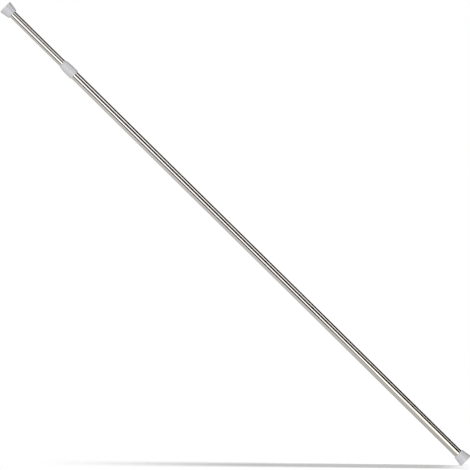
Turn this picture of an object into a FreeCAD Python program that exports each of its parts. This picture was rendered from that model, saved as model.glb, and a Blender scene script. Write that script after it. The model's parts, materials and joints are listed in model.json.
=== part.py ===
import FreeCAD, Part
import math
import os

from FreeCAD import Vector

# Spring tension rod. Two telescoping steel tubes stand between two soft feet. A twist lock
# inside the thick tube holds the thin tube's plunger, and a spring on that plunger pushes the
# thin tube outwards, so the rod stays jammed between two walls.
# Millimetres. X runs along the rod, from the face of the thick tube's foot at X = 0 to the
# face of the thin tube's foot. Z is up.

# Lengths of the rod as it is drawn out here
rod_length = 1830.0
inner_tube_shown = 198.0
collar_length = 47.5
foot_length = 30.0

# Tubes. The thin one is the thick one's bore less a gap all round.
outer_tube_dia = 25.0
tube_wall = 0.5
tube_gap = 1.0

# Fits, all radial
press_clearance = 0.04
running_clearance = 0.1
slip_clearance = 0.05

# Feet, the same outside at both ends
foot_neck_wall = 2.8
foot_flare = 4.95
foot_base = 6.0
foot_rim_round = 1.1
foot_neck_round = 1.6
grip_groove_count = 4
grip_disc_radius = 6.0
grip_rim = 2.6
grip_groove_width = 1.4
grip_groove_depth = 0.8

# End plugs
plug_flange = 3.0
plug_spigot = 22.0
plug_spigot_wall = 1.8
plug_rib_count = 6
plug_rib_height = 0.8
plug_rib_width = 2.0

# Collar
collar_wall = 2.46
collar_mouth_wall = 1.15
collar_mouth_round = 0.7
collar_ogive_length = 24.0
collar_back_round = 2.2
collar_lip = 12.5

# Travel
spring_travel = 30.0
foot_gap = 2.0
lock_nose_gap = 1.0
bush_stop_gap = 1.0

# Twist lock
journal_dia = 14.0
journal_offset = 0.35
lock_angle = 90.0
ring_length = 26.0
ring_end_play = 0.2
ring_split = 2.4
ring_groove_count = 5
ring_groove_width = 1.4
ring_groove_depth = 0.5
ring_chamfer = 0.8
spindle_flange = 3.5
spindle_boss_dia = 16.0
spindle_boss = 14.0
vent_count = 4
vent_radius = 2.2
washer_dia = 20.0
washer_thickness = 1.5
screw_dia = 3.5
screw_length = 12.0
screw_head_dia = 7.0
screw_head = 2.4
screw_head_round = 0.8
screw_recess_width = 1.0
screw_recess_length = 4.2
screw_recess_depth = 1.1

# Plunger and its guide
plunger_width = 7.0
plunger_chamfer = 0.7
stud_step = 0.7
pin_dia = 3.0
pin_recess = 0.6
bush_flange = 3.0
bush_length = 22.0
bush_core_count = 4
bush_core_radius = 1.6
bush_core_depth = 16.0
seat_thickness = 4.0
seat_boss_gap = 0.8
seat_boss = 6.0
nut_wall = 1.7
nut_thickness = 4.5
stud_beyond_nut = 1.5

# Spring and its stop
wire_dia = 1.8
spring_tube_gap = 1.5
spring_turns = 10.0
spring_fitted_length = 90.0
stop_length = 20.0
stop_boss = 6.0
stop_vent_dia = 6.0

# Crimps that hold the bush and the spring stop in the thin tube
crimp_width = 5.0
crimp_depth = 0.6

# Radii that follow from the sizes above
outer_tube_radius = outer_tube_dia / 2
outer_bore = outer_tube_radius - tube_wall
inner_tube_radius = outer_bore - tube_gap
inner_bore = inner_tube_radius - tube_wall
guide_radius = outer_bore - running_clearance
slider_radius = inner_bore - running_clearance
pressed_radius = inner_bore - press_clearance
spring_radius = inner_bore - spring_tube_gap - wire_dia / 2
seat_boss_radius = spring_radius - wire_dia / 2 - seat_boss_gap
stud_radius = plunger_width / 2 - stud_step
nut_width = 2 * (stud_radius + nut_wall)
foot_neck_radius = outer_tube_radius + press_clearance + foot_neck_wall
foot_end_radius = foot_neck_radius + foot_flare

# Places along the rod, from the thick tube's foot to the thin tube's foot
outer_tube_start = foot_base + plug_flange
outer_plug_end = outer_tube_start + plug_spigot
collar_mouth = rod_length - foot_length - inner_tube_shown
outer_tube_end = collar_mouth - collar_lip
inner_tube_end = rod_length - foot_base - plug_flange
closing_travel = inner_tube_shown - spring_travel - foot_gap
screw_head_start = outer_plug_end + closing_travel + lock_nose_gap
washer_start = screw_head_start + screw_head
journal_start = washer_start + washer_thickness
ring_start = journal_start + ring_end_play
spindle_flange_start = ring_start + ring_length + ring_end_play
boss_start = spindle_flange_start + spindle_flange
boss_end = boss_start + spindle_boss
bush_start = boss_end + spring_travel + bush_stop_gap
inner_tube_start = bush_start + bush_flange
bush_end = inner_tube_start + bush_length
seat_start = bush_end + slip_clearance
spring_start = seat_start + seat_thickness
spring_end = spring_start + spring_fitted_length
stop_end = spring_end + stop_length
bush_crimp = (inner_tube_start + bush_end) / 2
stop_crimp = (spring_end + stop_end) / 2

along = Vector(1, 0, 0)


class HalfSection:
    """A closed outline of (x, radius) points that is turned about the rod's axis."""

    def __init__(self, x, radius):
        self.first = Vector(x, 0, radius)
        self.last = self.first
        self.edges = []

    def line(self, x, radius):
        end = Vector(x, 0, radius)
        self.edges.append(Part.LineSegment(self.last, end).toShape())
        self.last = end
        return self

    def arc(self, middle_x, middle_radius, x, radius):
        middle = Vector(middle_x, 0, middle_radius)
        end = Vector(x, 0, radius)
        self.edges.append(Part.Arc(self.last, middle, end).toShape())
        self.last = end
        return self

    def quarter(self, x, radius, centre_x, centre_radius):
        """A quarter round out to (x, radius) about the given centre."""
        centre = Vector(centre_x, 0, centre_radius)
        spokes = self.last + Vector(x, 0, radius) - centre * 2
        middle = centre + spokes * math.sqrt(0.5)
        return self.arc(middle.x, middle.z, x, radius)

    def ogive(self, x, radius):
        """A shallow arc out to (x, radius) that ends parallel with the rod's axis."""
        run = x - self.last.x
        rise = radius - self.last.z
        sweep = (run * run + rise * rise) / (2 * rise)
        half_turn = math.asin(abs(run) / sweep) / 2
        middle_x = x - math.copysign(sweep * math.sin(half_turn), run)
        return self.arc(middle_x, radius - sweep * (1 - math.cos(half_turn)), x, radius)

    def turned(self):
        self.line(self.first.x, self.first.z)
        face = Part.Face(Part.Wire(self.edges))
        return face.revolve(Vector(0, 0, 0), along, 360)


def rod_between(start, end, radius, y=0, z=0):
    """A round bar along X."""
    return Part.makeCylinder(radius, end - start, Vector(start, y, z), along)


def bar_between(start, end, width, height):
    """A rectangular bar along X, centred on the rod's axis."""
    corner = Vector(start, -width / 2, -height / 2)
    return Part.makeBox(end - start, width, height, corner)


def around(shape, count, first_angle=0.0):
    """Copies of a shape, evenly spaced about the rod's axis."""
    copies = []
    for number in range(count):
        copy = shape.copy()
        copy.rotate(Vector(0, 0, 0), along, first_angle + 360.0 * number / count)
        copies.append(copy)
    return copies


def mirrored_end(shape):
    """The same shape at the other end of the rod."""
    return shape.mirror(Vector(rod_length / 2, 0, 0), along)


def outer_tube():
    tube = rod_between(outer_tube_start, outer_tube_end, outer_tube_radius)
    return tube.cut(rod_between(outer_tube_start, outer_tube_end, outer_bore))


def inner_tube():
    """The thin tube, with a rolled crimp over the bush and one over the spring stop."""
    half = crimp_width / 2
    section = HalfSection(inner_tube_start, inner_bore)
    for crimp in (bush_crimp, stop_crimp):
        section.line(crimp - half, inner_bore)
        section.arc(crimp, inner_bore - crimp_depth, crimp + half, inner_bore)
    section.line(inner_tube_end, inner_bore)
    section.line(inner_tube_end, inner_tube_radius)
    for crimp in (stop_crimp, bush_crimp):
        section.line(crimp + half, inner_tube_radius)
        section.arc(crimp, inner_tube_radius - crimp_depth, crimp - half, inner_tube_radius)
    section.line(inner_tube_start, inner_tube_radius)
    return section.turned()


def collar():
    """Moulded sleeve over the thick tube's end, with a rounded mouth for the thin tube."""
    back = collar_mouth - collar_length
    back_face = back + collar_back_round
    mouth_face = collar_mouth - collar_mouth_round
    mouth_bore = inner_tube_radius + running_clearance
    seat_bore = outer_tube_radius + press_clearance
    mouth = mouth_bore + collar_mouth_wall
    full = seat_bore + collar_wall

    section = HalfSection(back, seat_bore)
    section.line(outer_tube_end, seat_bore)
    section.line(outer_tube_end, mouth_bore)
    section.line(collar_mouth, mouth_bore)
    section.line(collar_mouth, mouth - collar_mouth_round)
    section.quarter(mouth_face, mouth, mouth_face, mouth - collar_mouth_round)
    section.ogive(collar_mouth - collar_ogive_length, full)
    section.line(back_face, full)
    section.quarter(back, full - collar_back_round, back_face, full - collar_back_round)
    return section.turned()


def foot(tube_radius):
    """Soft conical foot at X = 0, a cup for the tube's end and its plug."""
    seat = tube_radius + press_clearance
    neck_face = foot_length - foot_neck_round
    neck = foot_neck_radius - foot_neck_round
    rim = foot_end_radius - foot_rim_round
    section = HalfSection(0, 0)
    section.line(foot_base, 0)
    section.line(foot_base, seat)
    section.line(foot_length, seat)
    section.line(foot_length, neck)
    section.quarter(neck_face, foot_neck_radius, neck_face, neck)
    section.line(foot_rim_round, foot_end_radius)
    section.quarter(0, rim, foot_rim_round, rim)
    shape = section.turned()
    grip_pitch = (foot_end_radius - grip_rim - grip_disc_radius) / grip_groove_count
    for number in range(grip_groove_count):
        inside = grip_disc_radius + number * grip_pitch
        ring = rod_between(0, grip_groove_depth, inside + grip_groove_width)
        shape = shape.cut(ring.cut(rod_between(0, grip_groove_depth, inside)))
    return shape


def end_plug(tube_radius):
    """Hollow moulded plug: a flange on the tube's end and a ribbed spigot in its bore."""
    pressed = tube_radius - tube_wall - press_clearance
    spigot = pressed - plug_rib_height
    shape = rod_between(foot_base, outer_tube_start, tube_radius)
    shape = shape.fuse(rod_between(outer_tube_start, outer_plug_end, spigot))
    rib = bar_between(outer_tube_start, outer_plug_end, plug_rib_width, 2 * pressed)
    ribs = rib.multiFuse(around(rib, plug_rib_count // 2))
    shape = shape.fuse(ribs.common(rod_between(outer_tube_start, outer_plug_end, pressed)))
    core = rod_between(outer_tube_start, outer_plug_end, spigot - plug_spigot_wall)
    return shape.cut(core).removeSplitter()


def cam_spindle():
    """Spindle of the twist lock: eccentric journal, guide flange and boss for the plunger."""
    guide = rod_between(spindle_flange_start, boss_start, guide_radius)
    vent = rod_between(spindle_flange_start, boss_start, vent_radius, z=guide_radius)
    for notch in around(vent, vent_count, 45):
        guide = guide.cut(notch)
    journal = rod_between(
        journal_start, spindle_flange_start, journal_dia / 2, z=journal_offset
    )
    boss = rod_between(boss_start, boss_end, spindle_boss_dia / 2)
    socket_width = plunger_width + 2 * press_clearance
    socket = bar_between(boss_start, boss_end, socket_width, socket_width)
    pilot = rod_between(
        journal_start,
        journal_start + screw_length,
        screw_dia / 2 + press_clearance,
        z=journal_offset,
    )
    shape = journal.fuse([guide, boss])
    return shape.cut([socket, pilot, pin_hole()])


def lock_ring():
    """Split ring round the journal, whose bore is as far off centre as the journal. The ring
    drags on the thick tube, and turned by the lock angle the journal bears on the ring."""
    end = ring_start + ring_length
    radius = outer_bore - slip_clearance
    floor = radius - ring_groove_depth
    section = HalfSection(ring_start, 0)
    section.line(ring_start, radius - ring_chamfer)
    section.line(ring_start + ring_chamfer, radius)
    pitch = (ring_length - 2 * ring_chamfer) / ring_groove_count
    for number in range(ring_groove_count):
        groove = ring_start + ring_chamfer + (number + 0.5) * pitch - ring_groove_width / 2
        section.line(groove, radius)
        section.line(groove, floor)
        section.line(groove + ring_groove_width, floor)
        section.line(groove + ring_groove_width, radius)
    section.line(end - ring_chamfer, radius)
    section.line(end, radius - ring_chamfer)
    section.line(end, 0)
    journal_shift = 2 * journal_offset * math.sin(math.radians(lock_angle) / 2)
    bore = journal_dia / 2 + journal_shift + slip_clearance
    split = Part.makeBox(ring_length, ring_split, radius, Vector(ring_start, -ring_split / 2, 0))
    return section.turned().cut([rod_between(ring_start, end, bore, z=journal_offset), split])


def ring_washer():
    """Washer that keeps the ring on its journal."""
    washer = rod_between(washer_start, journal_start, washer_dia / 2, z=journal_offset)
    hole = screw_dia / 2 + running_clearance
    return washer.cut(rod_between(washer_start, journal_start, hole, z=journal_offset))


def washer_screw():
    """Pan head screw through the washer, with a cross recess."""
    head = rod_between(screw_head_start, washer_start, screw_head_dia / 2)
    outside_edge = min(head.Edges, key=lambda edge: edge.CenterOfMass.x)
    head = head.makeFillet(screw_head_round, [outside_edge])
    shank = rod_between(washer_start, journal_start + screw_length, screw_dia / 2)
    recess_end = screw_head_start + screw_recess_depth
    wide, long = screw_recess_width, screw_recess_length
    recess = bar_between(screw_head_start, recess_end, wide, long)
    recess = recess.fuse(bar_between(screw_head_start, recess_end, long, wide))
    screw = head.fuse(shank).cut(recess)
    screw.translate(Vector(0, 0, journal_offset))
    return screw


def pin_hole():
    """The cross hole through the boss and the plunger."""
    radius = pin_dia / 2 + press_clearance
    reach = spindle_boss_dia
    start = Vector((boss_start + boss_end) / 2, -reach, 0)
    return Part.makeCylinder(radius, 2 * reach, start, Vector(0, 1, 0))


def spindle_pin():
    """Cross pin that ties the plunger to the spindle."""
    reach = spindle_boss_dia / 2 - pin_recess
    start = Vector((boss_start + boss_end) / 2, -reach, 0)
    return Part.makeCylinder(pin_dia / 2, 2 * reach, start, Vector(0, 1, 0))


def plunger_rod():
    """Square bar that carries the twist into the lock, with a round stud for the seat."""
    square = bar_between(boss_start, seat_start, plunger_width, plunger_width)
    length = seat_start - boss_start
    long_edges = [edge for edge in square.Edges if abs(edge.Length - length) < 1e-6]
    square = square.makeChamfer(plunger_chamfer, long_edges)
    stud_end = spring_start + seat_boss + nut_thickness + stud_beyond_nut
    stud = rod_between(seat_start, stud_end, stud_radius)
    return square.fuse(stud).cut(pin_hole())


def crimped_plug(start, end, crimp):
    """A round plug for the thin tube, waisted where the tube is crimped into it."""
    half = crimp_width / 2 + press_clearance
    section = HalfSection(start, 0)
    section.line(start, pressed_radius)
    section.line(crimp - half, pressed_radius)
    waist = pressed_radius - crimp_depth - press_clearance
    section.arc(crimp, waist, crimp + half, pressed_radius)
    section.line(end, pressed_radius)
    section.line(end, 0)
    return section.turned()


def guide_bush():
    """Flanged bush in the thin tube's mouth, cored out round a square bore for the plunger."""
    flange = rod_between(bush_start, inner_tube_start, guide_radius)
    plug = crimped_plug(inner_tube_start, bush_end, bush_crimp)
    bore_width = plunger_width + 2 * running_clearance
    bore = bar_between(bush_start, bush_end, bore_width, bore_width)
    core_place = (pressed_radius - crimp_depth + bore_width / 2) / 2
    core = rod_between(bush_end - bush_core_depth, bush_end, bush_core_radius, z=core_place)
    return flange.fuse(plug).cut([bore, *around(core, bush_core_count)]).removeSplitter()


def spring_seat():
    """Piston on the plunger's stud. The spring pushes on it and centres on its boss."""
    disc = rod_between(seat_start, spring_start, slider_radius)
    boss = rod_between(spring_start, spring_start + seat_boss, seat_boss_radius)
    hole = stud_radius + press_clearance
    return disc.fuse(boss).cut(rod_between(seat_start, spring_start + seat_boss, hole))


def seat_nut():
    """Hexagon nut that holds the piston on the stud."""
    start = spring_start + seat_boss
    reach = nut_width / math.sqrt(3)
    corners = []
    for number in range(7):
        angle = math.radians(60 * number)
        corners.append(Vector(start, reach * math.cos(angle), reach * math.sin(angle)))
    nut = Part.Face(Part.makePolygon(corners)).extrude(along * nut_thickness)
    hole = stud_radius + press_clearance
    return nut.cut(rod_between(start, start + nut_thickness, hole))


def spring():
    """Compression spring with both ends ground flat."""
    overrun = wire_dia / 2
    coil_length = spring_fitted_length + 2 * overrun
    pitch = coil_length / spring_turns
    path = Part.makeHelix(pitch, coil_length, spring_radius)
    wire = Part.Wire(Part.makeCircle(wire_dia / 2, Vector(spring_radius, 0, 0), Vector(0, 1, 0)))
    coil = Part.Wire(path).makePipeShell([wire], True, True)
    coil.rotate(Vector(0, 0, 0), Vector(0, 1, 0), 90)
    coil.translate(Vector(spring_start - overrun, 0, 0))
    room = rod_between(
        spring_start + slip_clearance, spring_end - slip_clearance, inner_bore
    )
    return coil.common(room)


def spring_stop():
    """Plug that backs the spring, crimped in the thin tube."""
    plug = crimped_plug(spring_end, stop_end, stop_crimp)
    boss = rod_between(spring_end - stop_boss, spring_end, seat_boss_radius)
    vent = rod_between(spring_end - stop_boss, stop_end, stop_vent_dia / 2)
    return plug.fuse(boss).cut(vent)


pieces = {
    "outer_foot": foot(outer_tube_radius),
    "outer_end_plug": end_plug(outer_tube_radius),
    "outer_tube": outer_tube(),
    "collar": collar(),
    "lock_ring": lock_ring(),
    "cam_spindle": cam_spindle(),
    "ring_washer": ring_washer(),
    "washer_screw": washer_screw(),
    "spindle_pin": spindle_pin(),
    "plunger_rod": plunger_rod(),
    "spring_seat": spring_seat(),
    "seat_nut": seat_nut(),
    "guide_bush": guide_bush(),
    "spring": spring(),
    "spring_stop": spring_stop(),
    "inner_tube": inner_tube(),
    "inner_end_plug": mirrored_end(end_plug(inner_tube_radius)),
    "inner_foot": mirrored_end(foot(inner_tube_radius)),
}

os.makedirs("parts", exist_ok=True)
for name, shape in pieces.items():
    shape.exportStep("parts/" + name + ".step")
    print(name, "solids", len(shape.Solids), "valid", shape.isValid(), "cm3", round(shape.Volume / 1000, 2))
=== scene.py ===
import json
import math

import bpy
from mathutils import Matrix, Vector


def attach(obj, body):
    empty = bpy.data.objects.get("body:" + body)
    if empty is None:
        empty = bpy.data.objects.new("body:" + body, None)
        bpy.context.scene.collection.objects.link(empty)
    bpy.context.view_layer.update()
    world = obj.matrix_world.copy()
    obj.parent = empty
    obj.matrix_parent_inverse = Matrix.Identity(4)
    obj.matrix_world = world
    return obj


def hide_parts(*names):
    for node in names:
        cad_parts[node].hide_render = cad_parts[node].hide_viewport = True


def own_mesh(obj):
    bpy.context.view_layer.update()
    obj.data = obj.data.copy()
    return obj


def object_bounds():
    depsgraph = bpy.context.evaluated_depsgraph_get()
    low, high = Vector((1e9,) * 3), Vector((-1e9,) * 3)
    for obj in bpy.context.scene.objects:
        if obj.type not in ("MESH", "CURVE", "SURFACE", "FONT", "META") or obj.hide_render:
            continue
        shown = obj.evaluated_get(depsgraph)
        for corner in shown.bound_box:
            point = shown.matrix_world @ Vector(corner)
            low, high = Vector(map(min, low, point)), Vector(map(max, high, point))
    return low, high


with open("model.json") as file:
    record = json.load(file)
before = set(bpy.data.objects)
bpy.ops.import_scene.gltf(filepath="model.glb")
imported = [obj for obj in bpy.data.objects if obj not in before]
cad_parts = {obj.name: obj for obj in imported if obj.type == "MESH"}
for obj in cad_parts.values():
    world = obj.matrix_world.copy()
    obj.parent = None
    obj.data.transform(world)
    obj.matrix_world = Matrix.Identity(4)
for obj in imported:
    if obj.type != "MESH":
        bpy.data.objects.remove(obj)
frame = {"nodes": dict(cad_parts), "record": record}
cad_low, cad_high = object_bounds()

# The rod lies along X, from the thick tube's foot at X = 0 to the thin tube's foot. Lengths
# are metres, apart from those that a comment gives in millimetres.
MM = 0.001

# Where the photograph shows the rod's two ends, in its 470 x 470 pixels
PICTURE_SIDE = 470
THICK_END = Vector((465.78, 461.0))
THIN_END = Vector((5.13, 6.87))

# Camera, square to the rod and far off. The sensor's width is in millimetres.
CAMERA_DISTANCE = 15.0
SENSOR = 36.0
CLIP = (1.0, 80.0)

# Light on the object: the world's own level, and broad lamps square to the rod, each with
# its angle, level and spread. Angles here and below are degrees, seen along the rod, from
# the camera's side (+Y) towards +Z.
WORLD_LEVEL = 0.22
LAMPS = {
    "key": (0, 0.75, 45),
    "under": (-90, 0.15, 60),
    "top_back": (150, 0.45, 50),
    "low_back": (215, 0.35, 50),
}

# Narrow lamps that shine along the rod, for the end faces of its feet
END_LAMPS = {"thick_end": -1, "thin_end": 1}
END_LAMP_LEVEL = 0.5
END_LAMP_SPREAD = 1.0

# Floor: how far the camera looks down on it, its gap to the foot, and its reach
FLOOR_TILT = math.radians(22)
FLOOR_GAP = 0.2 * MM
FLOOR_LEFT, FLOOR_RIGHT, FLOOR_DEEP = 1.4, 0.1, 0.3

# It fades into the backdrop away from the foot, over these distances to the left of it
FLOOR_FADE_IN = (-0.04, 0.1)
FLOOR_FADE_OUT = (0.56, 1.27)

# Its paint, how bright it shows in full shadow, and its own lamp
FLOOR_ALBEDO = 0.8
FLOOR_MOTTLE = (0.985, 1.0)
FLOOR_IN_SHADOW = 0.54
FLOOR_LAMP_SHARE = 0.54
FLOOR_LAMP_SPREAD = 1.7
FLOOR_LAMP_LEAN = math.radians(1.3)

# Streaks on the tubes, from the lower edge to the upper one as the camera sees them. Each
# begins where the one before ends. The pairs are where it ends, as a share of the tube's
# radius, and how bright its reflection card is, at four places along X: beside the thick
# tube's foot, at a third of the rod, beside the collar and on the thin tube.
STREAK_PLACES = (0.1, 0.6, 1.5, 1.64)
FIRST_STREAK_FROM = -0.99
STREAKS = {
    "low_edge": ((-0.85, 0.35), (-0.85, 0.5), (-0.85, 0.5), (-0.85, 0.5)),
    "under": ((-0.17, 0.55), (-0.4, 0.7), (-0.42, 0.7), (-0.55, 0.7)),
    "dim_side": ((-0.17, 0.55), (-0.1, 0.02), (-0.2, 0.1), (-0.28, 0.15)),
    "main_strip": ((0.18, 1.7), (0.1, 1.7), (0.04, 1.7), (0.03, 1.7)),
    "dark_side": ((0.56, 0.01), (0.52, 0.01), (0.47, 0.05), (0.42, 0.15)),
    "thin_strip": ((0.62, 1.7), (0.65, 1.7), (0.63, 1.7), (0.56, 1.3)),
    "dark_top": ((0.995, 0.01), (0.995, 0.01), (0.985, 0.02), (0.98, 0.1)),
}

# The cards that make them: how far off, their reach along X, and their fineness in degrees
CARD_RADIUS = 2.5
CARD_REACH = (-9.0, 11.0)
CARD_STEP = 3.0

# The cards are a little warmer near the thick tube's foot: how much blue they have left
# there, and how far along X this reaches
CARD_BLUE_LOW = 0.93
CARD_WARM_END = 0.55

# The tubes' steel, a little warmer than the record has it
TUBE_COLOUR = (0.79, 0.75, 0.712)

# Turned pieces: their columns, the radius up to which a point lies on the axis, the gap up
# to which two points are one, and the smallest angle that stays sharp. Millimetres, degrees.
COLUMNS = 160
ON_AXIS = 1e-6
SAME_POINT = 0.001
TURNED_SHARP = 35

# The feet, in millimetres from their own end face. The grip grooves begin at the radius
# GRIP_DISC, and the last land between them ends GRIP_RIM short of the rim.
FOOT_LENGTH, FOOT_BASE = 30.0, 6.0
NECK_RADIUS, END_RADIUS = 15.34, 20.29
NECK_ROUND, RIM_ROUND, SEAT_ROUND = 1.6, 1.1, 0.4
DIMPLE_DEPTH, DIMPLE_FLOOR, DIMPLE_EDGE = 0.25, 1.1, 1.5
DIMPLE_FLOOR_ROUND, DIMPLE_EDGE_ROUND = 0.1, 0.3
GRIP_DISC, GRIP_RIM, GRIP_COUNT = 6.0, 2.6, 4
GROOVE_WIDTH, GROOVE_DEPTH, GROOVE_ROUND = 1.4, 0.8, 0.22

# Bore radii of what is pushed over the thick tube and over the thin one, in millimetres
THICK_SEAT, THIN_SEAT = 12.54, 11.04

# The collar, in millimetres: places along X, radii, its ogive and its rounded edges
COLLAR_BACK, COLLAR_MOUTH, TUBE_END = 1554.5, 1602.0, 1589.5
MOUTH_BORE, COLLAR_FULL, MOUTH_OUTSIDE = 11.1, 15.0, 12.25
OGIVE_LENGTH, OGIVE_STEPS = 24.0, 24
MOUTH_ROUND, BACK_ROUND, BORE_ROUND = 0.7, 2.2, 0.3

# Its two mould seams: their angles in radians, their height and half their width in
# millimetres
SEAMS = (0.0, math.pi)
SEAM_HEIGHT, SEAM_HALF_WIDTH = 0.08, 0.22

# The spring, in millimetres and turns. Its end turns are closed, open out over part of a
# turn, and are ground off by a share of the wire's radius.
SPRING_START, SPRING_END = 305.85, 395.85
SPRING_CLEARANCE, SPRING_TRAVEL = 0.05, 30.0
WIRE_RADIUS, SPRING_RADIUS = 0.9, 8.1
SPRING_TURNS, CLOSED_TURNS, OPENING_TURNS = 10, 0.75, 0.5
CLOSED_PITCH, GROUND_SHARE = 1.86, 0.5
COIL_STEPS, WIRE_SIDES = 48, 14
COIL_SHARP = 50


def put(name, data):
    made = bpy.data.objects.new(name, data)
    bpy.context.collection.objects.link(made)
    return made


def mesh_object(name, points, faces, sharp_angle=None):
    """A mesh, flat or with its faces smoothed up to an angle in degrees."""
    data = bpy.data.meshes.new(name)
    data.from_pydata(points, [], faces)
    data.validate()
    if sharp_angle is not None:
        data.shade_smooth()
        data.set_sharp_from_angle(angle=math.radians(sharp_angle))
    data.update()
    return put(name, data)


# Camera


def look_at_rod():
    """A long lens from the +Y side, rolled so that the rod runs from corner to corner."""
    rod_start, rod_end = cad_low.x, cad_high.x
    middle = Vector(((rod_start + rod_end) / 2, 0, 0))
    shown = THIN_END - THICK_END
    metres_per_pixel = (rod_end - rod_start) / shown.length

    # The picture's right and up, from which way +X points in the picture
    right = Vector((shown.x, 0, -shown.y)) / shown.length
    up = Vector((-shown.y, 0, -shown.x)) / shown.length
    back = right.cross(up)

    picture_middle = (THIN_END + THICK_END) / 2
    aside = (PICTURE_SIDE / 2 - picture_middle.x) * metres_per_pixel
    above = (picture_middle.y - PICTURE_SIDE / 2) * metres_per_pixel
    place = middle + right * aside + up * above + back * CAMERA_DISTANCE

    data = bpy.data.cameras.new("camera")
    data.sensor_width = SENSOR
    data.lens = SENSOR * CAMERA_DISTANCE / (PICTURE_SIDE * metres_per_pixel)
    data.clip_start, data.clip_end = CLIP
    camera = put("camera", data)
    camera.matrix_world = Matrix((right, up, back)).transposed().to_4x4()
    camera.location = place
    bpy.context.scene.camera = camera
    return up, back


# Node graphs


def new_tree(material):
    material.use_nodes = True
    material.node_tree.nodes.clear()
    return material.node_tree


def add(tree, kind, inputs=(), output=0, **settings):
    """A shader node with its inputs set or linked. Returns one of its outputs."""
    made = tree.nodes.new("ShaderNode" + kind)
    for name, value in settings.items():
        setattr(made, name, value)
    for key, value in dict(inputs).items():
        if isinstance(value, bpy.types.NodeSocket):
            tree.links.new(value, made.inputs[key])
        else:
            made.inputs[key].default_value = value
    return made.outputs[output] if len(made.outputs) else made


def along(tree, place, factor):
    """Texture places that change slower along X, by that factor."""
    return add(tree, "Mapping", {"Vector": place, "Scale": (factor, 1, 1)})


def noise(tree, place, per_metre, detail, roughness=0.5):
    """Noise from its fineness, its layers of finer detail and how strong these are."""
    inputs = {"Vector": place, "Scale": per_metre, "Detail": detail, "Roughness": roughness}
    return add(tree, "TexNoise", inputs)


def ranged(tree, value, given, wanted):
    """A value between the two numbers given, brought between the two that are wanted."""
    inputs = {"Value": value, "From Min": given[0], "From Max": given[1]}
    inputs.update({"To Min": wanted[0], "To Max": wanted[1]})
    return add(tree, "MapRange", inputs)


def smooth_step(tree, value, given):
    """A value between the two numbers given, eased to between 0 and 1."""
    inputs = {"Value": value, "From Min": given[0], "From Max": given[1]}
    return add(tree, "MapRange", inputs, interpolation_type="SMOOTHSTEP")


def maths(tree, operation, a, b):
    return add(tree, "Math", {0: a, 1: b}, operation=operation)


def blended(tree, share, a, b):
    """One colour into another. Sockets 0, 6 and 7 are the mix's share and its two colours."""
    return add(tree, "Mix", {0: share, 6: a, 7: b}, output=2, data_type="RGBA")


def shade(colour, factor):
    return tuple(min(1.0, part * factor) for part in colour) + (1.0,)


def bumps(tree, heights, strength, depth):
    return add(tree, "Bump", {"Height": heights, "Strength": strength, "Distance": depth})


def finished(tree, inputs):
    surface = add(tree, "BsdfPrincipled", inputs)
    add(tree, "OutputMaterial", {"Surface": surface})


# Materials of the object


def drawn_steel(name, colour, polish, line_depth, smudge):
    """Tube steel: drawing lines run along X, with faint smudges from handling."""
    material = bpy.data.materials.new(name)
    tree = new_tree(material)
    place = add(tree, "TexCoord", output="Object")
    lines = noise(tree, along(tree, place, 0.004), 1500, 4, 0.6)
    bands = noise(tree, along(tree, place, 0.02), 260, 2)
    patches = noise(tree, place, 16, 5, 0.62)
    marks = noise(tree, place, 210, 3, 0.7)

    tone = ranged(tree, bands, (0.3, 0.7), (0, 1))
    base = blended(tree, tone, shade(colour, 0.965), shade(colour, 1.03))
    dulled = ranged(tree, patches, (0.5, 0.75), (0, 0.25))
    base = blended(tree, dulled, base, shade(colour, 0.9))

    gloss = ranged(tree, lines, (0.35, 0.7), (polish * 0.8, polish * 1.35))
    film = ranged(tree, patches, (0.48, 0.72), (0, smudge))
    specks = ranged(tree, marks, (0.66, 0.8), (0, smudge))
    gloss = maths(tree, "ADD", gloss, maths(tree, "ADD", film, specks))
    bump = bumps(tree, lines, 0.35, line_depth)
    finished(
        tree, {"Base Color": base, "Roughness": gloss, "Normal": bump, "Metallic": 1.0}
    )
    return material


def plated_steel(name, colour):
    """Plated small parts: dull bright steel with a fine crystalline mottle."""
    material = bpy.data.materials.new(name)
    tree = new_tree(material)
    place = add(tree, "TexCoord", output="Object")
    crystals = noise(tree, place, 1900, 3, 0.6)
    patches = noise(tree, place, 120, 4)
    tone = ranged(tree, patches, (0.35, 0.7), (0, 1))
    base = blended(tree, tone, shade(colour, 0.9), shade(colour, 1.06))
    gloss = ranged(tree, crystals, (0.3, 0.7), (0.26, 0.42))
    bump = bumps(tree, crystals, 0.25, 0.02 * MM)
    finished(
        tree, {"Base Color": base, "Roughness": gloss, "Normal": bump, "Metallic": 1.0}
    )
    return material


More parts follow.
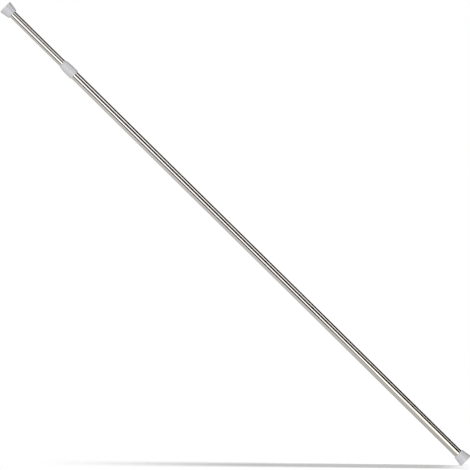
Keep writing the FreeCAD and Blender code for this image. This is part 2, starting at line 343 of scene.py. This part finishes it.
def moulded(name, colour, gloss, grain_depth, grime=0.0, grime_span=(0, 1), softness=0.0):
    """Moulded plastic: satin grain and flow lines along X. Grime fades out over a span of X,
    and softness is how much light gets under the surface."""
    material = bpy.data.materials.new(name)
    tree = new_tree(material)
    place = add(tree, "TexCoord", output="Object")
    grain = noise(tree, place, 2600, 3, 0.6)
    flow = noise(tree, along(tree, place, 0.12), 330, 4, 0.55)
    cloud = noise(tree, place, 150, 5, 0.6)
    scuffs = noise(tree, along(tree, place, 0.35), 900, 5, 0.7)

    tone = ranged(tree, flow, (0.3, 0.7), (0, 1))
    base = blended(tree, tone, shade(colour, 0.955), shade(colour, 1.035))
    clouded = ranged(tree, cloud, (0.4, 0.7), (0, 0.6))
    base = blended(tree, clouded, base, shade(colour, 0.91))
    if grime:
        along_rod = add(tree, "SeparateXYZ", {0: place}, output="X")
        near_end = ranged(tree, along_rod, grime_span, (grime, 0))
        scuffed = ranged(tree, scuffs, (0.4, 0.65), (0.2, 1))
        dirty = maths(tree, "MULTIPLY", near_end, scuffed)
        base = blended(tree, dirty, base, shade(colour, 0.55))

    rough = ranged(tree, scuffs, (0.35, 0.75), (gloss * 0.9, gloss * 1.16))
    heights = maths(tree, "ADD", grain, maths(tree, "MULTIPLY", flow, 0.6))
    bump = bumps(tree, heights, 0.3, grain_depth)
    inputs = {"Base Color": base, "Roughness": rough, "Normal": bump, "IOR": 1.5}
    if softness:
        inputs["Subsurface Weight"] = softness
        inputs["Subsurface Radius"] = (1.0, 0.9, 0.85)
        inputs["Subsurface Scale"] = 0.8 * MM
    finished(tree, inputs)
    return material


def slot_colour(name):
    for entry in frame["record"]["materials"]:
        if entry["slot"] == name:
            return tuple(entry["base_color"][:3])
    raise KeyError(name)


# Turned pieces


def rounded(corners, steps=6):
    """Points of an outline in (x, radius) whose corners, given as (x, radius, round), are
    rounded. Millimetres."""
    points = []
    for number, (x, radius, fillet) in enumerate(corners):
        here = Vector((x, radius))
        if not fillet:
            points.append(here)
            continue
        before = Vector(corners[number - 1][:2]) - here
        after = Vector(corners[(number + 1) % len(corners)][:2]) - here
        before.normalize()
        after.normalize()
        half = before.angle(after) / 2
        reach = fillet / math.tan(half)
        centre = here + (before + after).normalized() * (fillet / math.sin(half))
        first = here + before * reach - centre
        last = here + after * reach - centre
        sweep = first.angle_signed(last)
        for step in range(steps + 1):
            turn = Matrix.Rotation(-sweep * step / steps, 2)
            points.append(centre + turn @ first)
    kept = points[:1]
    for point in points[1:]:
        if (point - kept[-1]).length > SAME_POINT:
            kept.append(point)
    return kept


def arc_to(start, end, count):
    """Corners of a shallow arc between two (x, radius) points, parallel with X at its end."""
    run, rise = end[0] - start[0], end[1] - start[1]
    bend = (run * run + rise * rise) / (2 * rise)
    corners = []
    for step in range(1, count):
        x = start[0] + run * step / count
        left = end[0] - x
        corners.append((x, end[1] - bend + math.sqrt(bend * bend - left * left), 0))
    return corners


def same_angle(angle):
    """The angle in a form that makes two equal ones the same."""
    return round(angle % math.tau, 6)


def column_angles():
    return {same_angle(math.tau * number / COLUMNS) for number in range(COLUMNS)}


def no_lift(x, angle):
    return 0.0


def turned(name, outline, angles, lift=no_lift):
    """A piece turned about X from an outline in millimetres, which may stand up by some
    lift at a place along X and an angle. An outline off the axis closes on itself."""
    angles = sorted(angles)
    points, rows = [], []
    for x, radius in outline:
        if radius < ON_AXIS:
            rows.append([len(points)] * len(angles))
            points.append((x * MM, 0, 0))
            continue
        row = []
        for angle in angles:
            reach = (radius + lift(x, angle)) * MM
            row.append(len(points))
            points.append((x * MM, reach * math.cos(angle), reach * math.sin(angle)))
        rows.append(row)
    pairs = list(zip(rows, rows[1:]))
    if outline[0][1] > ON_AXIS:
        pairs.append((rows[-1], rows[0]))
    faces = []
    for lower, upper in pairs:
        for number in range(len(angles)):
            after = (number + 1) % len(angles)
            ring = [lower[number], lower[after], upper[after], upper[number]]
            face = list(dict.fromkeys(ring))
            if len(face) > 2:
                faces.append(face)
    return mesh_object(name, points, faces, TURNED_SHARP)


def mirrored(outline, length):
    """The outline from the other end, in the order that keeps its faces outwards."""
    return [Vector((length - x, radius)) for x, radius in reversed(outline)]


def dress(piece, material, body, slot, *nodes):
    piece.data.materials.append(material)
    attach(piece, body)
    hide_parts(*nodes)


def foot_outline(seat):
    """Outline of a foot: end face with its grip grooves, cone, neck, and the tube's seat."""
    corners = [
        (DIMPLE_DEPTH, 0, 0),
        (DIMPLE_DEPTH, DIMPLE_FLOOR, DIMPLE_FLOOR_ROUND),
        (0, DIMPLE_EDGE, DIMPLE_EDGE_ROUND),
    ]
    pitch = (END_RADIUS - GRIP_RIM - GRIP_DISC) / GRIP_COUNT
    for number in range(GRIP_COUNT):
        inside = GRIP_DISC + number * pitch
        outside = inside + GROOVE_WIDTH
        corners += [
            (0, inside, GROOVE_ROUND),
            (GROOVE_DEPTH, inside, GROOVE_ROUND),
            (GROOVE_DEPTH, outside, GROOVE_ROUND),
            (0, outside, GROOVE_ROUND),
        ]
    corners += [
        (0, END_RADIUS, RIM_ROUND),
        (FOOT_LENGTH, NECK_RADIUS, NECK_ROUND),
        (FOOT_LENGTH, seat, SEAT_ROUND),
        (FOOT_BASE, seat, 0),
        (FOOT_BASE, 0, 0),
    ]
    return rounded(corners)


def make_feet(material):
    outer = turned("outer_foot_pvc", foot_outline(THICK_SEAT), column_angles())
    dress(outer, material, "thick_half", "soft_grey", "outer_foot")
    outline = mirrored(foot_outline(THIN_SEAT), cad_high.x / MM)
    inner = turned("inner_foot_pvc", outline, column_angles())
    dress(inner, material, "thin_half", "soft_grey", "inner_foot")


def collar_seam(x, angle):
    """How far the collar's mould seams stand up, away from its rounded ends. The step in
    its bore widens by as much."""
    if not COLLAR_BACK + BACK_ROUND <= x <= COLLAR_MOUTH - MOUTH_ROUND * 2:
        return 0.0
    off = min(abs((angle - seam + math.pi) % math.tau - math.pi) for seam in SEAMS)
    return SEAM_HEIGHT * max(0.0, 1 - off * COLLAR_FULL / SEAM_HALF_WIDTH)


def make_collar(material):
    mouth_edge = (COLLAR_MOUTH - MOUTH_ROUND, MOUTH_OUTSIDE)
    ogive_end = (COLLAR_MOUTH - OGIVE_LENGTH, COLLAR_FULL)
    corners = [
        (COLLAR_BACK, THICK_SEAT, BORE_ROUND),
        (TUBE_END, THICK_SEAT, 0),
        (TUBE_END, MOUTH_BORE, 0),
        (COLLAR_MOUTH, MOUTH_BORE, BORE_ROUND),
        (COLLAR_MOUTH, MOUTH_OUTSIDE, MOUTH_ROUND),
        (*mouth_edge, 0),
        *arc_to(mouth_edge, ogive_end, OGIVE_STEPS),
        (*ogive_end, 0),
        (COLLAR_BACK, COLLAR_FULL, BACK_ROUND),
    ]

    # A few more columns close to each seam
    angles = column_angles()
    for seam in SEAMS:
        for share in (-1, -0.5, 0, 0.5, 1):
            angles.add(same_angle(seam + share * SEAM_HALF_WIDTH / COLLAR_FULL))

    # Backwards, so that the faces point outwards
    outline = list(reversed(rounded(corners)))
    piece = turned("collar_moulding", outline, angles, collar_seam)
    dress(piece, material, "thick_half", "collar_grey", "collar")


# The spring


def coil_advances(length):
    """How far the coil moves along X at each step: closed at both ends, open between."""
    steps = SPRING_TURNS * COIL_STEPS
    openness = []
    for step in range(steps):
        turn = (step + 0.5) / COIL_STEPS
        inward = min(turn, SPRING_TURNS - turn)
        share = min(1.0, max(0.0, (inward - CLOSED_TURNS) / OPENING_TURNS))
        openness.append(share * share * (3 - 2 * share))
    opened = sum(openness)
    open_pitch = (length * COIL_STEPS - CLOSED_PITCH * (steps - opened)) / opened
    return [
        (CLOSED_PITCH * (1 - share) + open_pitch * share) / COIL_STEPS for share in openness
    ]


def make_spring(material):
    """Compression spring with its end turns closed up and ground flat."""
    low = SPRING_START + SPRING_CLEARANCE
    high = SPRING_END - SPRING_CLEARANCE
    ground = WIRE_RADIUS * GROUND_SHARE
    advances = coil_advances(high - low - 2 * ground)
    points, faces = [], []
    x = low + ground
    for step, advance in enumerate([*advances, 0.0]):
        angle = math.tau * step / COIL_STEPS
        for number in range(WIRE_SIDES):
            tilt = math.tau * number / WIRE_SIDES
            radius = SPRING_RADIUS + WIRE_RADIUS * math.cos(tilt)
            place = min(high, max(low, x + WIRE_RADIUS * math.sin(tilt)))
            points.append(
                (place * MM, radius * math.cos(angle) * MM, radius * math.sin(angle) * MM)
            )
        x += advance
    for step in range(len(advances)):
        here, there = step * WIRE_SIDES, (step + 1) * WIRE_SIDES
        for number in range(WIRE_SIDES):
            after = (number + 1) % WIRE_SIDES
            faces.append((here + number, there + number, there + after, here + after))
    faces.append(tuple(range(WIRE_SIDES)))
    faces.append(tuple(reversed(range(len(points) - WIRE_SIDES, len(points)))))
    piece = mesh_object("spring_coil", points, faces, COIL_SHARP)
    dress(piece, material, "thin_half", "plain_steel", "spring")
    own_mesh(piece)


# Stage


def across(angle_degrees):
    """Unit vector square to the rod, at an angle from the camera's side towards +Z."""
    angle = math.radians(angle_degrees)
    return Vector((0, math.cos(angle), math.sin(angle)))


def sun(name, direction, level, spread, lit_only=None, spared=None):
    """A lamp that shines from a direction, on some objects only or on all but some, and
    that no reflection shows. A level of 1 makes a surface square to it as bright as its
    colour."""
    data = bpy.data.lights.new(name, "SUN")
    data.energy = level * math.pi
    data.angle = math.radians(spread)
    lamp = put(name, data)
    lamp.matrix_world = direction.to_track_quat("Z", "Y").to_matrix().to_4x4()
    lamp.visible_glossy = False
    receivers = bpy.data.collections.new(name + "_lights")
    for piece in (lit_only or spared):
        receivers.objects.link(piece)
    if spared:
        for entry in receivers.collection_objects:
            entry.light_linking.link_state = "EXCLUDE"
    lamp.light_linking.receiver_collection = receivers


def make_world():
    """White where the camera, metal or glass looks. A soft level where it lights."""
    world = bpy.data.worlds.new("studio")
    bpy.context.scene.world = world
    tree = new_tree(world)
    path = tree.nodes.new("ShaderNodeLightPath").outputs
    seen = maths(tree, "ADD", path["Is Camera Ray"], path["Is Glossy Ray"])
    seen = maths(tree, "ADD", seen, path["Is Transmission Ray"])
    seen.node.use_clamp = True
    light = add(tree, "Background", {"Color": (1, 1, 1, 1), "Strength": WORLD_LEVEL})
    white = add(tree, "Background", {"Color": (1, 1, 1, 1), "Strength": 1.0})
    mixed = add(tree, "MixShader", {0: seen, 1: light, 2: white})
    add(tree, "OutputWorld", {"Surface": mixed})


def floor_paint(left):
    """White paint, with a glow that sets how dark the full shadow is. It is clear from below,
    to the right of the foot and far to the left of it."""
    material = bpy.data.materials.new("floor_white")
    tree = new_tree(material)
    place = add(tree, "TexCoord", output="Object")
    tone = ranged(tree, noise(tree, place, 3, 3), (0.3, 0.7), FLOOR_MOTTLE)
    paint = blended(
        tree, tone, (0, 0, 0, 1), (FLOOR_ALBEDO, FLOOR_ALBEDO, FLOOR_ALBEDO, 1)
    )
    matt = add(tree, "BsdfDiffuse", {"Color": paint})
    base_light = FLOOR_IN_SHADOW - FLOOR_ALBEDO * WORLD_LEVEL
    glow = add(tree, "Emission", {"Color": (1, 1, 1, 1), "Strength": base_light})
    lit = add(tree, "AddShader", {0: matt, 1: glow})
    clear = add(tree, "BsdfTransparent")
    aside = add(tree, "VectorMath", {0: place, 1: left}, output="Value", operation="DOT_PRODUCT")
    near = smooth_step(tree, aside, FLOOR_FADE_IN)
    far = smooth_step(tree, aside, FLOOR_FADE_OUT[::-1])
    front = maths(tree, "SUBTRACT", 1.0, add(tree, "NewGeometry", output="Backfacing"))
    there = maths(tree, "MULTIPLY", front, maths(tree, "MULTIPLY", near, far))
    shown = add(tree, "MixShader", {0: there, 1: clear, 2: lit})
    add(tree, "OutputMaterial", {"Surface": shown})
    return material


def make_floor(up, back):
    """A one-sided white floor under the thick tube's foot, with the rod's shadow on it."""
    normal = up * math.cos(FLOOR_TILT) + back * math.sin(FLOOR_TILT)
    reach = END_RADIUS * MM * math.hypot(normal.y, normal.z)
    origin = -normal * (reach + FLOOR_GAP)
    side = up.cross(back).normalized()
    deep = normal.cross(side).normalized()
    left = side if side.x > 0 else -side
    corners = [
        origin + left * aside + deep * ahead
        for aside, ahead in (
            (-FLOOR_RIGHT, -FLOOR_DEEP),
            (FLOOR_LEFT, -FLOOR_DEEP),
            (FLOOR_LEFT, FLOOR_DEEP),
            (-FLOOR_RIGHT, FLOOR_DEEP),
        )
    ]
    floor = mesh_object("floor", corners, [(0, 1, 2, 3)])
    if floor.data.polygons[0].normal.dot(normal) < 0:
        floor.data.flip_normals()
    floor.data.materials.append(floor_paint(left))
    for kind in ("diffuse", "glossy", "transmission", "shadow"):
        setattr(floor, "visible_" + kind, False)

    level = FLOOR_LAMP_SHARE / FLOOR_ALBEDO / math.cos(FLOOR_TILT)
    lamp_side = up * math.cos(FLOOR_LAMP_LEAN) + back * math.sin(FLOOR_LAMP_LEAN)
    sun("floor_lamp", lamp_side, level, FLOOR_LAMP_SPREAD, lit_only=[floor])
    return floor


def with_ends(values):
    """The values at the streaks' places, with the first and last again for the far ends."""
    return [values[0], *values, values[-1]]


def card_rows():
    """Where the cards change along X: the streaks' places, as the camera sees them at the
    cards' distance, and the far ends."""
    middle = (cad_low.x + cad_high.x) / 2
    spread = 1 + CARD_RADIUS / CAMERA_DISTANCE
    places = [middle + (place - middle) * spread for place in STREAK_PLACES]
    return [CARD_REACH[0], *places, CARD_REACH[1]]


def card_angle(edge):
    """Where a card ends whose reflection ends at that share of the tube's radius."""
    return 2 * math.degrees(math.asin(edge))


def card_blue(x):
    cool = min(1.0, max(0.0, x / CARD_WARM_END))
    return CARD_BLUE_LOW + (1 - CARD_BLUE_LOW) * cool


def card_material():
    material = bpy.data.materials.new("card")
    tree = new_tree(material)
    colour = add(tree, "Attribute", output="Color", attribute_name="light")
    glow = add(tree, "Emission", {"Color": colour, "Strength": 1.0})
    add(tree, "OutputMaterial", {"Surface": glow})
    material.cycles.emission_sampling = "NONE"
    return material


def make_card(name, starts, ends, levels, material):
    """A band along the rod that only reflections see, from one angle to another, with a
    level at each of the streaks' places."""
    rows = card_rows()
    widest = max(end - start for start, end in zip(starts, ends))
    columns = max(1, math.ceil(widest / CARD_STEP))
    points, colours, faces = [], [], []
    for x, start, end, level in zip(
        rows, with_ends(starts), with_ends(ends), with_ends(levels)
    ):
        for column in range(columns + 1):
            angle = start + (end - start) * column / columns
            points.append(Vector((x, 0, 0)) + across(angle) * CARD_RADIUS)
            colours += [level, level, level * card_blue(x), 1.0]
    for row in range(len(rows) - 1):
        for column in range(columns):
            here = row * (columns + 1) + column
            faces.append((here, here + 1, here + columns + 2, here + columns + 1))
    card = mesh_object("card_" + name, points, faces)
    light = card.data.attributes.new("light", "FLOAT_COLOR", "POINT")
    light.data.foreach_set("color", colours)
    card.data.materials.append(material)
    for kind in ("camera", "diffuse", "transmission", "shadow"):
        setattr(card, "visible_" + kind, False)


def make_cards():
    """Long cards give the polished tubes their streaks, as in a studio. They drift a little
    along the rod."""
    material = card_material()
    starts = [card_angle(FIRST_STREAK_FROM)] * len(STREAK_PLACES)
    for name, pairs in STREAKS.items():
        ends = [card_angle(edge) for edge, _ in pairs]
        levels = [level for _, level in pairs]
        make_card(name, starts, ends, levels, material)
        starts = ends


# Making


up, back = look_at_rod()
bpy.context.scene.view_settings.view_transform = "Standard"
make_world()
floor = make_floor(up, back)
make_cards()
for lamp, (angle, level, spread) in LAMPS.items():
    sun(lamp, across(angle), level, spread, spared=[floor])
for lamp, side in END_LAMPS.items():
    sun(lamp, Vector((side, 0, 0)), END_LAMP_LEVEL, END_LAMP_SPREAD, spared=[floor])

tube_steel = drawn_steel(
    "tube_steel", TUBE_COLOUR, polish=0.085, line_depth=0.012 * MM, smudge=0.03
)
foot_pvc = moulded(
    "foot_pvc",
    slot_colour("soft_grey"),
    gloss=0.27,
    grain_depth=0.03 * MM,
    grime=0.35,
    grime_span=(0, 2.5 * MM),
    softness=0.1,
)
collar_plastic = moulded(
    "collar_plastic", slot_colour("collar_grey"), gloss=0.26, grain_depth=0.02 * MM
)
white_moulding = moulded(
    "white_moulding", slot_colour("moulding"), gloss=0.42, grain_depth=0.02 * MM
)
plated = plated_steel("plated_steel", slot_colour("plain_steel"))

CAD_MATERIALS = {
    tube_steel: ("outer_tube", "inner_tube"),
    white_moulding: (
        "outer_end_plug", "inner_end_plug", "lock_ring", "cam_spindle", "guide_bush",
        "spring_seat", "spring_stop",
    ),
    plated: ("ring_washer", "washer_screw", "spindle_pin", "plunger_rod", "seat_nut"),
}
for material, nodes in CAD_MATERIALS.items():
    for node in nodes:
        for slot in frame["nodes"][node].material_slots:
            slot.material = material

make_feet(foot_pvc)
make_collar(collar_plastic)
make_spring(plated)
